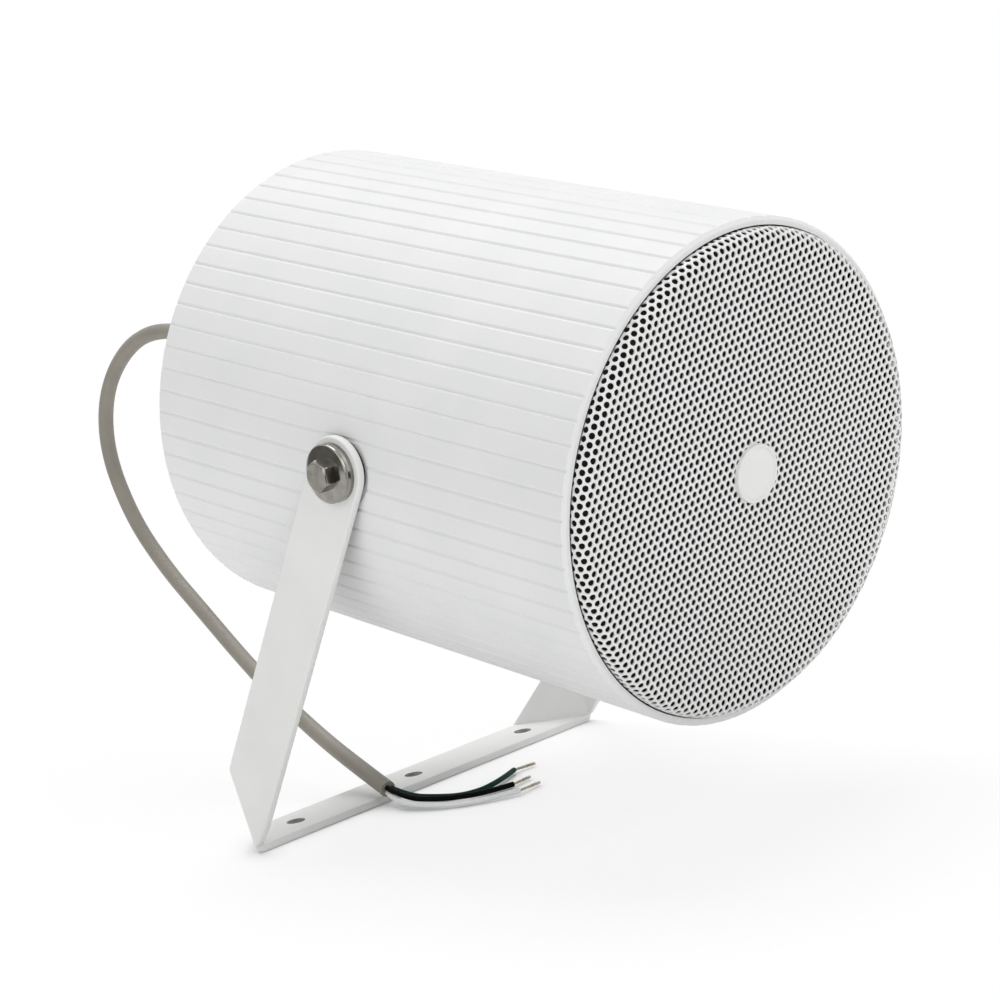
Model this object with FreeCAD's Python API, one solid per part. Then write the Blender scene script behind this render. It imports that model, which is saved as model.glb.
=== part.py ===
import FreeCAD, Part
import math
import os

from FreeCAD import Placement, Rotation, Vector

# Sound projector speaker: a ribbed tube with a perforated front, tilting between the arms of a strip bracket.
# Millimetres. Z = 0 is the underside of the bracket's base, X points the way the speaker faces
# and Y runs along the base.

# Housing tube
body_diameter = 175.0
body_length = 206.0
wall = 2.8
rib_count = 68
groove_width = 1.7
groove_depth = 0.5
rim_chamfer = 1.2
channel_count = 6
channel_radius = 4.5
channel_bore = 3.5
channel_inset = 6.5
channel_start = 7.0

# Front: baffle, driver, grille
baffle_depth = 16.0
baffle_thickness = 5.0
fit_gap = 0.3
driver_inset = 33.0
driver_flange_width = 10.5
driver_flange_thickness = 1.5
driver_screw_inset = 4.2
driver_screw_count = 4
basket_depth = 42.0
basket_wall = 1.2
basket_foot_inset = 15.0
basket_foot_height = 6.0
basket_rim_depth = 10.0
basket_window_count = 6
basket_window_angle = 42.0
front_gasket_height = 6.5
front_gasket_width = 4.5
surround_width = 7.8
surround_bond = 1.2
cone_sheet = 0.8
cone_lip = 2.0
cone_neck_rise = 12.0
dust_cap_overlap = 5.0
dust_cap_height = 6.0
coil_radius = 12.7
coil_wall = 0.35
coil_gap = 0.45
coil_overhang = 2.0
magnet_inset = 9.0
magnet_bore_gap = 6.0
magnet_thickness = 17.0
pole_plate_inset = 13.0
vent_radius = 3.0
pole_plate_thickness = 6.0
grille_gap = 0.5
grille_sheet = 1.0
grille_rise = 5.0
grille_edge_radius = 4.5
grille_hole = 9.2
grille_pitch = 13.8
grille_turn = 8.5
badge_diameter = 21.0
badge_thickness = 1.8
badge_raise = 1.6
screen_thickness = 0.4

# Rear: cover, seal, cable gland, line transformer
cap_recess = 2.0
cap_thickness = 4.0
gasket_width = 9.0
gland_thread = 15.2
gland_hex = 19.0
gland_flange = 5.0
gland_nut_length = 17.0
gland_grip = 8.0
gland_nose = 6.0
gland_seal_length = 3.9
gland_mouth_radius = 5.4
gland_stem_past_cap = 7.0
locknut_height = 4.0
core_width = 48.0
core_height = 40.0
core_stack = 16.0
core_limb = 8.0
winding_reach = 7.5
frame_sheet = 1.2
frame_foot = 9.0
transformer_drop = 45.0
terminal_size = 30.0
terminal_height = 14.0
terminal_raise = 45.0

# Screws
screw_diameter = 3.2
screw_head = 6.4
screw_head_height = 2.2
channel_screw_length = 14.0
plate_screw_length = 5.0

# Pivot and bracket
pivot_from_rear = 101.1
pivot_above_axis = 1.0
spot_face_depth = 0.8
spot_face_radius = 13.0
friction_washer = 1.6
friction_washer_radius = 11.0
bolt_diameter = 6.0
bolt_clearance = 0.3
bolt_head_flats = 10.0
bolt_head_height = 5.0
bolt_length = 23.0
washer_radius = 10.4
washer_thickness = 1.6
spring_washer_thickness = 2.6
nut_plate_size = 22.0
nut_plate_depth = 8.0
strip_width = 25.0
strip_thickness = 3.0
arm_lean = 35.0
arm_reach = 166.4
fold_slant_base = 38.8
fold_slant_arm = 42.5
base_hole = 7.0
base_hole_spacing = 61.5
nose_down = 12.5

# Cable, its three conductors, and their routes chosen by hand
cable_diameter = 6.5
wire_diameter = 2.1
tip_diameter = 1.1
cable_in_gland = 10.0
cable_route = [
    (-62.7, 0.0, 178.2),
    (-99.0, 0.0, 189.5),
    (-129.0, 0.0, 187.0),
    (-155.2, 0.0, 168.0),
    (-164.8, 0.0, 140.6),
    (-154.6, -0.8, 110.5),
    (-131.6, -4.5, 88.1),
    (-105.4, -8.6, 70.2),
    (-80.1, -12.5, 52.4),
    (-53.1, -16.8, 35.9),
    (-25.5, -21.1, 22.4),
    (-1.8, -24.9, 13.1),
    (17.4, -28.3, 6.6),
]
green_route = [
    (18.14, -27.1, 6.65),
    (25.0, -26.8, 5.0),
    (34.5, -23.3, 2.6),
    (43.0, -12.7, 1.4),
    (45.8, -2.0, 1.25),
    (45.0, 5.0, 1.3),
    (42.5, 11.5, 1.35),
    (41.2, 17.1, 1.5),
]
black_route = [
    (18.07, -29.26, 7.38),
    (29.0, -30.2, 6.2),
    (41.5, -28.5, 4.2),
    (46.5, -17.5, 2.6),
    (50.5, -5.8, 1.7),
    (54.7, 2.3, 1.4),
]
white_route = [
    (17.38, -28.75, 5.26),
    (25.0, -31.6, 4.6),
    (35.8, -34.4, 3.2),
    (48.3, -31.5, 1.9),
    (57.3, -18.7, 1.4),
    (61.8, -10.5, 1.3),
    (65.6, -4.0, 1.4),
]
tip_ends = [(40.3, 28.5, 1.3), (53.3, 12.9, 1.3), (64.0, 7.6, 1.3)]

# Places worked out from the sizes above
outer_radius = body_diameter / 2
inner_radius = outer_radius - wall
channel_circle = inner_radius - channel_inset
cone_outer_radius = inner_radius - driver_inset
surround_outer = cone_outer_radius + surround_width
basket_rim_radius = surround_outer + basket_wall
baffle_opening = basket_rim_radius + 2 * fit_gap
driver_flange_radius = baffle_opening + driver_flange_width
driver_screw_circle = driver_flange_radius - driver_screw_inset
basket_foot_radius = cone_outer_radius - basket_foot_inset
magnet_radius = cone_outer_radius - magnet_inset
pole_plate_radius = cone_outer_radius - pole_plate_inset
baffle_front = body_length - baffle_depth
baffle_back = baffle_front - baffle_thickness
flange_front = baffle_front + driver_flange_thickness
gasket_front = flange_front + front_gasket_height
basket_back = baffle_front - basket_depth
magnet_front = basket_back - pole_plate_thickness
magnet_back = magnet_front - magnet_thickness
yoke_back = magnet_back - pole_plate_thickness
grille_radius = inner_radius - grille_gap
grille_front = body_length + grille_rise
gland_socket = gland_thread * 0.415
cap_back = cap_recess
cap_front = cap_back + cap_thickness
liner_radius = inner_radius - fit_gap
spot_face_y = outer_radius - spot_face_depth
arm_inner = spot_face_y + friction_washer
arm_outer = arm_inner + strip_thickness
lean = math.radians(arm_lean)
along_arm = Vector(math.sin(lean), 0, math.cos(lean))
across_arm = Vector(-math.cos(lean), 0, math.sin(lean))
strip_tip = Vector(strip_width / 2, 0, 0)
pivot = strip_tip + across_arm * (strip_width / 2) + along_arm * arm_reach
axis_point = Vector(pivot_from_rear, 0, pivot_above_axis)
to_world = Placement(pivot, Rotation(Vector(0, 1, 0), nose_down)).multiply(Placement(-axis_point, Rotation()))

FORWARD = Vector(1, 0, 0)
SIDEWAYS = Vector(0, 1, 0)
UP = Vector(0, 0, 1)


def turned(profile):
    """A solid of revolution about the speaker's axis from (x, radius) corners."""
    corners = [Vector(x, 0, radius) for x, radius in profile]
    face = Part.Face(Part.makePolygon(corners + corners[:1]))
    return face.revolve(Vector(0, 0, 0), FORWARD, 360)


def rod(radius, x_start, x_end, y=0.0, z=0.0):
    return Part.makeCylinder(radius, x_end - x_start, Vector(x_start, y, z), FORWARD)


def ring(outer, inner, x_start, x_end):
    return rod(outer, x_start, x_end).cut(rod(inner, x_start - 1, x_end + 1))


def block(x_start, x_end, y_size, z_size, y=0.0, z=0.0):
    corner = Vector(x_start, y - y_size / 2, z - z_size / 2)
    return Part.makeBox(x_end - x_start, y_size, z_size, corner)


def hexagon(flats, start, length, direction, reference):
    """A hexagonal prism whose corners start from the reference direction."""
    corner = flats / math.sqrt(3)
    turn = [Rotation(direction, 60 * k).multVec(reference) for k in range(6)]
    points = [start + arm * corner for arm in turn]
    return Part.Face(Part.makePolygon(points + points[:1])).extrude(direction * length)


def circle_places(radius, count, first_angle=0.0):
    """Places (y, z) evenly round a circle."""
    angles = [math.radians(first_angle + 360.0 * k / count) for k in range(count)]
    return [(radius * math.cos(a), radius * math.sin(a)) for a in angles]


def screws(places, head_face, toward, length):
    """Pan-head screws; toward is +1 when the shank points to +X."""
    made = []
    for y, z in places:
        ends = sorted((head_face, head_face - toward * screw_head_height))
        shank = sorted((head_face, head_face + toward * length))
        head = rod(screw_head / 2, ends[0], ends[1], y, z)
        made.append(head.fuse(rod(screw_diameter / 2, shank[0], shank[1], y, z)).removeSplitter())
    return Part.makeCompound(made)


def with_holes(solid, places, radius, x_start, x_end):
    return solid.cut([rod(radius, x_start - 1, x_end + 1, y, z) for y, z in places])


def save(name, shape, moved=True):
    placed = shape.transformed(to_world.toMatrix(), True) if moved else shape
    placed.exportStep("parts/" + name + ".step")
    print(name, len(placed.Solids), "volume", round(placed.Volume, 1), "valid", placed.isValid())


channel_places = circle_places(channel_circle, channel_count, 30.0)
driver_screw_places = circle_places(driver_screw_circle, driver_screw_count, 45.0)


def housing():
    """The ribbed tube: lands between narrow V grooves, screw channels inside, a spot face at each pivot."""
    pitch = 2 * math.pi / rib_count
    half_groove = groove_width / 2 / outer_radius
    edges = []

    def at(radius, angle):
        return Vector(0, radius * math.cos(angle), radius * math.sin(angle))

    for k in range(rib_count):
        middle = k * pitch
        start = at(outer_radius, middle - pitch / 2 + half_groove)
        finish = at(outer_radius, middle + pitch / 2 - half_groove)
        valley = at(outer_radius - groove_depth, middle + pitch / 2)
        following = at(outer_radius, middle + pitch / 2 + half_groove)
        edges.append(Part.Arc(start, at(outer_radius, middle), finish).toShape())
        edges.append(Part.makeLine(finish, valley))
        edges.append(Part.makeLine(valley, following))
    section = Part.Face(Part.Wire(Part.__sortEdges__(edges)))
    tube = section.extrude(FORWARD * body_length)
    envelope = turned([
        (0, 0),
        (0, outer_radius - rim_chamfer / 2),
        (rim_chamfer / 2, outer_radius),
        (body_length - rim_chamfer, outer_radius),
        (body_length, outer_radius - rim_chamfer),
        (body_length, 0),
    ])
    tube = tube.common(envelope).cut(rod(inner_radius, -1, body_length + 1))
    bound = rod(inner_radius + wall / 2, 0, body_length)
    lobes = []
    for y, z in channel_places:
        angle = math.degrees(math.atan2(z, y))
        web_reach = inner_radius + wall / 2 - channel_circle
        web = block(channel_start, baffle_back, web_reach, channel_radius, channel_circle + web_reach / 2)
        web.rotate(Vector(0, 0, 0), FORWARD, angle)
        lobes.append(rod(channel_radius, channel_start, baffle_back, y, z).fuse(web).common(bound))
    tube = tube.fuse(lobes)
    bores = [rod(channel_bore / 2, channel_start - 1, baffle_back + 1, y, z) for y, z in channel_places]
    for side in (-1, 1):
        outward = SIDEWAYS * side
        seat = axis_point + outward * spot_face_y
        bores.append(Part.makeCylinder(spot_face_radius, wall, seat, outward))
        hole_radius = bolt_diameter / 2 + bolt_clearance
        bores.append(Part.makeCylinder(hole_radius, 2 * wall, seat + outward * -1.6 * wall, outward))
    return tube.cut(bores).removeSplitter()


def rear_cap():
    plate = rod(liner_radius, cap_back, cap_front).cut(rod(gland_thread / 2 + fit_gap, 0, cap_front + 1))
    skirt = ring(channel_circle - channel_radius - fit_gap, channel_circle - channel_radius - 3, cap_front,
                 cap_front + 5)
    cap = plate.fuse(skirt)
    cap = with_holes(cap, channel_places, screw_diameter / 2 + fit_gap, cap_back, cap_front)
    return with_holes(cap, foot_places(), screw_diameter / 2 + 0.05, cap_back, cap_front).removeSplitter()


def cap_gasket():
    flat = ring(liner_radius, liner_radius - gasket_width + 1, cap_front, channel_start)
    return with_holes(flat, channel_places, screw_diameter / 2 + fit_gap, cap_front, channel_start)


def gland_body():
    seat = Vector(cap_back, 0, 0)
    flange = hexagon(gland_hex, seat, gland_flange, -FORWARD, UP)
    stem = rod(gland_thread / 2, cap_back - gland_flange, cap_front + gland_stem_past_cap)
    nose = rod(gland_socket - fit_gap, cap_back - gland_flange - gland_nose, cap_back - gland_flange)
    bore = rod(cable_diameter / 2 + fit_gap, -100, 100)
    return flange.fuse([stem, nose]).cut(bore).removeSplitter()


def gland_nut():
    """The domed nut that squeezes the seal, hexagonal at its foot and tapered to the mouth."""
    foot = cap_back - gland_flange
    mouth = foot - gland_nut_length
    grip = hexagon(gland_hex, Vector(foot, 0, 0), gland_grip, -FORWARD, UP)
    slope_start = foot - gland_grip
    dome = turned([
        (slope_start, 0),
        (slope_start, gland_hex * 0.48),
        (slope_start * 0.55 + mouth * 0.45, gland_hex * 0.43),
        (slope_start * 0.1 + mouth * 0.9, gland_mouth_radius * 1.15),
        (mouth, gland_mouth_radius),
        (mouth, 0),
    ])
    bore = rod(cable_diameter / 2 + fit_gap, mouth - 1, foot + 1)
    socket = rod(gland_socket, foot - gland_nose - gland_seal_length - fit_gap / 3, foot + 1)
    return grip.fuse(dome).cut(bore.fuse(socket)).removeSplitter()


def gland_seal():
    foot = cap_back - gland_flange
    back = foot - gland_nose - gland_seal_length
    return ring(gland_socket - fit_gap, cable_diameter / 2 + fit_gap / 2, back, foot - gland_nose)


def gland_locknut():
    nut = hexagon(gland_hex, Vector(cap_front, 0, 0), locknut_height, FORWARD, UP)
    return nut.cut(rod(gland_thread / 2 + 0.05, 0, cap_front + locknut_height + 1))


def foot_places():
    """Screw places of the transformer's frame on the rear cover."""
    reach = core_width / 2 + frame_sheet + frame_foot / 2
    return [(-reach, -transformer_drop), (reach, -transformer_drop)]


def transformer_core():
    core = block(cap_front, cap_front + core_height, core_width, core_stack, 0, -transformer_drop)
    low = cap_front + core_limb
    high = cap_front + core_height - core_limb
    window = (core_width - 4 * core_limb) / 2
    offset = core_limb + window / 2
    slots = [block(low, high, window, core_stack + 2, side * offset, -transformer_drop) for side in (-1, 1)]
    return core.cut(slots)


def transformer_winding():
    low = cap_front + core_limb + fit_gap
    high = cap_front + core_height - core_limb - fit_gap
    window = (core_width - 4 * core_limb) / 2
    width = 2 * (core_limb + window - fit_gap)
    outer = block(low, high, width, core_stack + 2 * winding_reach, 0, -transformer_drop)
    limb = block(low - 1, high + 1, 2 * core_limb + 2 * fit_gap, core_stack + 2 * fit_gap,
                 0, -transformer_drop)
    return outer.cut(limb)


def transformer_frame():
    """A sheet channel over the core, with a screwed foot each side."""
    top = cap_front + core_height
    outer = core_width + 2 * frame_sheet
    channel = block(cap_front, top + frame_sheet, outer, core_stack, 0, -transformer_drop)
    feet = block(cap_front, cap_front + frame_sheet, outer + 2 * frame_foot, core_stack, 0, -transformer_drop)
    inside = block(cap_front - 1, top, core_width, core_stack + 2, 0, -transformer_drop)
    frame = channel.fuse(feet).cut(inside)
    return with_holes(frame, foot_places(), screw_diameter / 2 + fit_gap, cap_front, cap_front + frame_sheet)


def terminal_block():
    body = block(cap_front, cap_front + terminal_height, terminal_size, 16.0, 0, terminal_raise)
    step = block(cap_front + terminal_height - 5, cap_front + terminal_height + 1, terminal_size + 2, 6.0,
                 0, terminal_raise - 8)
    entries = [
        Part.makeCylinder(1.8, 12.0,
                          Vector(cap_front + 4.5, side * terminal_size / 3, terminal_raise - 10), UP)
        for side in (-1, 0, 1)
    ]
    heads = [rod(2.6, cap_front + 7, cap_front + terminal_height + 1,
                 side * terminal_size / 3, terminal_raise + 3)
             for side in (-1, 0, 1)]
    return body.cut([step] + entries + heads)


def baffle():
    plate = ring(liner_radius, baffle_opening, baffle_back, baffle_front)
    plate = with_holes(plate, channel_places, screw_diameter / 2 + fit_gap, baffle_back, baffle_front)
    return with_holes(plate, driver_screw_places, screw_diameter / 2 + 0.05, baffle_back, baffle_front)


def driver_basket():
    """A pressed frame: flange, sloping wall with windows, and a foot on the magnet."""
    rim = basket_rim_radius
    frame = turned([
        (flange_front, driver_flange_radius),
        (baffle_front, driver_flange_radius),
        (baffle_front, rim),
        (baffle_front - basket_rim_depth, rim),
        (basket_back + basket_foot_height, basket_foot_radius),
        (basket_back, basket_foot_radius),
        (basket_back, coil_radius + magnet_bore_gap),
        (basket_back + basket_wall, coil_radius + magnet_bore_gap),
        (basket_back + basket_wall, basket_foot_radius - basket_wall),
        (basket_back + basket_foot_height, basket_foot_radius - basket_wall),
        (baffle_front - basket_rim_depth, rim - basket_wall),
        (flange_front, rim - basket_wall),
    ])
    half = math.radians(basket_window_angle / 2)
    far = 2 * driver_flange_radius
    low = basket_back + basket_foot_height + basket_wall
    high = baffle_front - basket_rim_depth - basket_wall
    wedge = Part.makePolygon([
        Vector(low, 0, 0),
        Vector(low, far * math.sin(-half), far * math.cos(half)),
        Vector(low, far * math.sin(half), far * math.cos(half)),
        Vector(low, 0, 0),
    ])
    window = Part.Face(wedge).extrude(FORWARD * (high - low))
    windows = [window.rotated(Vector(0, 0, 0), FORWARD, 360.0 * k / basket_window_count)
               for k in range(basket_window_count)]
    frame = frame.cut(windows)
    return with_holes(frame, driver_screw_places, screw_diameter / 2 + fit_gap, baffle_front, flange_front)


def driver_gasket():
    return ring(surround_outer + front_gasket_width, surround_outer, flange_front, gasket_front)


cone_edge_x = flange_front - 1.5
cone_neck_x = basket_back + cone_neck_rise
cone_neck = coil_radius + coil_wall + fit_gap


def surround():
    """A half-roll rubber edge from the basket's rim to the cone."""
    middle = (cone_outer_radius + surround_outer) / 2
    roll = surround_width / 2 - surround_bond
    return turned([
        (cone_edge_x, cone_outer_radius),
        (cone_edge_x, middle - roll),
        (cone_edge_x + roll * 0.8, middle - roll * 0.6),
        (cone_edge_x + roll * 0.8, middle + roll * 0.6),
        (cone_edge_x, middle + roll),
        (cone_edge_x, surround_outer - fit_gap / 3),
        (cone_edge_x + cone_sheet, surround_outer - fit_gap / 3),
        (cone_edge_x + cone_sheet, middle + roll + cone_sheet),
        (cone_edge_x + roll * 0.8 + cone_sheet, middle + roll * 0.6 + cone_sheet),
        (cone_edge_x + roll * 0.8 + cone_sheet, middle - roll * 0.6 - cone_sheet),
        (cone_edge_x + cone_sheet, middle - roll - cone_sheet),
        (cone_edge_x + cone_sheet, cone_outer_radius),
    ])


def cone():
    return turned([
        (cone_neck_x, cone_neck),
        (cone_edge_x - cone_sheet, cone_outer_radius - cone_lip),
        (cone_edge_x - cone_sheet, cone_outer_radius + cone_lip),
        (cone_edge_x, cone_outer_radius + cone_lip),
        (cone_edge_x, cone_outer_radius - cone_lip - cone_sheet / 2),
        (cone_neck_x + 1.5 * cone_sheet, cone_neck),
    ])


def dust_cap():
    """A shallow cap glued on the cone, over the coil."""
    rim = cone_neck + dust_cap_overlap
    front_edge = cone_outer_radius - cone_lip - cone_sheet / 2
    slope = (cone_edge_x - cone_neck_x - 1.5 * cone_sheet) / (front_edge - cone_neck)
    seat = cone_neck_x + 1.6 * cone_sheet + dust_cap_overlap * slope
    shoulder = dust_cap_height * 0.66
    return turned([
        (seat, rim),
        (seat + shoulder, rim * 0.72),
        (seat + dust_cap_height, 0),
        (seat + dust_cap_height - cone_sheet, 0),
        (seat + shoulder - cone_sheet, rim * 0.68),
        (seat, rim - cone_sheet),
    ])


def spider():
    """A corrugated centring ring from the coil to the basket's foot."""
    inner = coil_radius + coil_wall + fit_gap / 2
    outer = basket_foot_radius - basket_wall - fit_gap / 3
    base = basket_back + basket_wall
    waves = 5
    radii = [inner + (outer - inner) * k / (2 * waves) for k in range(2 * waves + 1)]
    lower = [(base + 2.0 + (1.6 if k % 2 else 0.0), radius) for k, radius in enumerate(radii)]
    lower[-1] = (base, outer)
    upper = [(x + 0.7, radius) for x, radius in lower]
    return turned(lower + upper[::-1])


def voice_coil():
    back = basket_back - pole_plate_thickness - coil_overhang
    return ring(coil_radius + coil_wall, coil_radius, back, cone_neck_x + 3 * cone_sheet)


def top_plate():
    return ring(pole_plate_radius, coil_radius + coil_wall + coil_gap, magnet_front, basket_back)


def magnet():
    return ring(magnet_radius, coil_radius + magnet_bore_gap, magnet_back, magnet_front)


def yoke():
    """The back plate and pole in one, with a vent through it."""
    plate = rod(pole_plate_radius, yoke_back, magnet_back)
    pole = rod(coil_radius - coil_gap, yoke_back, basket_back)
    return plate.fuse(pole).cut(rod(vent_radius, yoke_back - 1, basket_back + 1)).removeSplitter()


def grille():
    """A perforated sheet pan: flat front, rounded edge, skirt standing on the baffle."""
    mid = math.sqrt(0.5)

    def pan(radius, front, edge, back):
        side = Vector(front - edge, 0, radius)
        curve = Vector(front - edge + edge * mid, 0, radius - edge + edge * mid)
        top = Vector(front, 0, radius - edge)
        outline = [
            Part.makeLine(Vector(back, 0, 0), Vector(back, 0, radius)),
            Part.makeLine(Vector(back, 0, radius), side),
            Part.Arc(side, curve, top).toShape(),
            Part.makeLine(top, Vector(front, 0, 0)),
            Part.makeLine(Vector(front, 0, 0), Vector(back, 0, 0)),
        ]
        return Part.Face(Part.Wire(outline)).revolve(Vector(0, 0, 0), FORWARD, 360)

    outer = pan(grille_radius, grille_front, grille_edge_radius, baffle_front)
    inner = pan(grille_radius - grille_sheet, grille_front - grille_sheet, grille_edge_radius - grille_sheet,
                baffle_front - 1)
    sheet = outer.cut(inner)
    limit = grille_radius - grille_edge_radius * 0.5 - grille_hole / 2
    clear = badge_diameter / 2 + grille_hole / 2 + 0.6
    rows = int(limit / grille_pitch) + 2
    turn = math.radians(grille_turn)
    holes = []
    for row in range(-rows, rows + 1):
        for column in range(-2 * rows, 2 * rows + 1):
            across = grille_pitch * (column + row / 2)
            rise = grille_pitch * row * math.sqrt(0.75)
            y = across * math.cos(turn) - rise * math.sin(turn)
            z = across * math.sin(turn) + rise * math.cos(turn)
            if math.hypot(y, z) < limit and math.hypot(y, z - badge_raise) > clear:
                holes.append(rod(grille_hole / 2, body_length - 1, grille_front + 1, y, z))
    return sheet.cut(holes)


def badge():
    disc = turned([
        (grille_front, 0),
        (grille_front, badge_diameter / 2),
        (grille_front + badge_thickness - 0.6, badge_diameter / 2),
        (grille_front + badge_thickness, badge_diameter / 2 - 0.6),
        (grille_front + badge_thickness, 0),
    ])
    return disc.translated(Vector(0, 0, badge_raise))


def dust_screen():
    return rod(grille_radius - grille_sheet - fit_gap, gasket_front, gasket_front + screen_thickness)


def pivot_bolts():
    made = []
    for side in (-1, 1):
        outward = SIDEWAYS * side
        seat = axis_point + outward * (arm_outer + spring_washer_thickness + washer_thickness)
        head = hexagon(bolt_head_flats, seat, bolt_head_height, outward, UP)
        crown_start = seat + outward * (bolt_head_height * 0.4)
        crown = Part.makeCone(bolt_head_flats * 0.62, bolt_head_flats * 0.46, bolt_head_height * 0.6,
                              crown_start, outward)
        foot = Part.makeCylinder(bolt_head_flats, bolt_head_height * 0.4, seat, outward)
        head = head.common(crown.fuse(foot))
        shank = Part.makeCylinder(bolt_diameter / 2, bolt_length, seat, -outward)
        made.append(head.fuse(shank).removeSplitter())
    return Part.makeCompound(made)


def side_rings(start, thickness, radius, bore):
    """A flat ring at each pivot, from the distance start outward."""
    made = []
    for side in (-1, 1):
        outward = SIDEWAYS * side
        seat = axis_point + outward * start
        body = Part.makeCylinder(radius, thickness, seat, outward)
        made.append(body.cut(Part.makeCylinder(bore, 3 * thickness, seat - outward * thickness, outward)))
    return Part.makeCompound(made)


def spring_washers():
    """Dished washers between each arm and its flat washer."""
    bore = bolt_diameter / 2 + bolt_clearance
    made = []
    for side in (-1, 1):
        outward = SIDEWAYS * side
        seat = axis_point + outward * arm_outer
        height = spring_washer_thickness
        rim = Part.makeCylinder(washer_radius, height * 0.55, seat, outward)
        crown_seat = seat + outward * (height * 0.55)
        crown = Part.makeCone(washer_radius, washer_radius * 0.9, height * 0.45, crown_seat, outward)
        hole = Part.makeCylinder(bore, 3 * height, seat - outward * height, outward)
        made.append(rim.fuse(crown).cut(hole).removeSplitter())
    return Part.makeCompound(made)


def pivot_nuts():
    """Threaded plates inside the tube, curved to its wall."""
    made = []
    bound = rod(inner_radius - 0.05, 0, body_length)
    for side in (-1, 1):
        near = inner_radius - nut_plate_depth
        middle = side * (near + nut_plate_depth)
        plate = block(pivot_from_rear - nut_plate_size / 2, pivot_from_rear + nut_plate_size / 2,
                      2 * nut_plate_depth, nut_plate_size, middle, pivot_above_axis)
        hole_start = axis_point + SIDEWAYS * (side * (near - 1))
        hole = Part.makeCylinder(bolt_diameter / 2 + 0.05, 2 * nut_plate_depth, hole_start, SIDEWAYS * side)
        made.append(plate.common(bound).cut(hole))
    return Part.makeCompound(made)


def plate_from(corners, inward):
    """A sheet of the strip's thickness on the inner side of a flat outline."""
    return Part.Face(Part.makePolygon(corners + corners[:1])).extrude(inward * strip_thickness)


def bracket():
    """One strip folded twice at each corner, so that both arms lean forward from the base."""
    half = strip_width / 2
    base_set_back = strip_width * math.tan(math.radians(fold_slant_base))
    arm_set_up = strip_width * math.tan(math.radians(fold_slant_arm))
    rear_fold = strip_tip + across_arm * strip_width + along_arm * arm_set_up
    plates = [plate_from([
        Vector(half, -arm_outer, 0),
        Vector(half, arm_outer, 0),
        Vector(-half, arm_outer - base_set_back, 0),
        Vector(-half, base_set_back - arm_outer, 0),
    ], UP)]
    cuts = [Part.makeCylinder(base_hole / 2, 3 * strip_thickness,
                              Vector(0, k * base_hole_spacing, -strip_thickness))
            for k in (-1, 0, 1)]
    for side in (-1, 1):
        out = SIDEWAYS * (side * arm_outer)
        inward = SIDEWAYS * -side
        tip = strip_tip + out
        fold = rear_fold + out
        rear = pivot + across_arm * half + out
        crown = pivot + along_arm * half + out
        front = pivot - across_arm * half + out
        outline = [
            Part.makeLine(tip, fold),
            Part.makeLine(fold, rear),
            Part.Arc(rear, crown, front).toShape(),
            Part.makeLine(front, tip),
        ]
        plates.append(Part.Face(Part.Wire(outline)).extrude(inward * strip_thickness))
        root = Vector(-half, side * (arm_outer - base_set_back), 0)
        facing = (fold - root).cross(tip - root)
        facing.normalize()
        if facing.dot(inward) < 0:
            facing = facing * -1
        plates.append(plate_from([root, fold, tip], facing))
        hole_radius = bolt_diameter / 2 + bolt_clearance
        cuts.append(Part.makeCylinder(hole_radius, 3 * strip_thickness,
                                      pivot + out + inward * 2 * strip_thickness,
                                      inward * -1))
    return plates[0].fuse(plates[1:]).removeSplitter().cut(cuts)


def tube_along(points, diameter, name):
    """A round tube on straight runs joined by tangent arcs, each as large as its two runs allow."""
    points = [Vector(*p) for p in points]
    edges = []
    radii = []
    start = points[0]
    for before, corner, after in zip(points, points[1:], points[2:]):
        back = before - corner
        ahead = after - corner
        tangent = 0.45 * min(back.Length, ahead.Length)
        turn = math.pi - back.getAngle(ahead)
        radius = tangent / math.tan(turn / 2)
        radii.append(round(radius, 1))
        back.normalize()
        ahead.normalize()
        arc_start = corner + back * tangent
        arc_end = corner + ahead * tangent
        inside = back + ahead
        inside.normalize()
        middle = corner + inside * (radius / math.cos(turn / 2) - radius)
        edges.append(Part.makeLine(start, arc_start))
        edges.append(Part.Arc(arc_start, middle, arc_end).toShape())
        start = arc_end
    edges.append(Part.makeLine(start, points[-1]))
    length = sum(edge.Length for edge in edges)
    path = Part.Wire(edges)
    first = points[1] - points[0]
    section = Part.Wire(Part.makeCircle(diameter / 2, points[0], first))
    tube = path.makePipeShell([section], True, False)
    expected = math.pi * diameter ** 2 / 4 * length
    print(name, "length", round(length, 1), "radii", radii, "volume ratio", round(tube.Volume / expected, 4))
    return tube


def cable_points():
    mouth = cap_back - gland_flange - gland_nut_length
    inside = to_world.multVec(Vector(mouth + cable_in_gland, 0, 0))
    outside = to_world.multVec(Vector(mouth - 6.0, 0, 0))
    return [tuple(inside), tuple(outside)] + cable_route


def wire_tips():
    made = []
    for route, end in zip((green_route, black_route, white_route), tip_ends):
        start = Vector(*route[-1])
        along = Vector(*end) - start
        along.normalize()
        start = start + along * fit_gap
        reach = (Vector(*end) - start).Length
        made.append(Part.makeCylinder(tip_diameter / 2, reach, start, along))
    return Part.makeCompound(made)


os.makedirs("parts", exist_ok=True)

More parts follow.
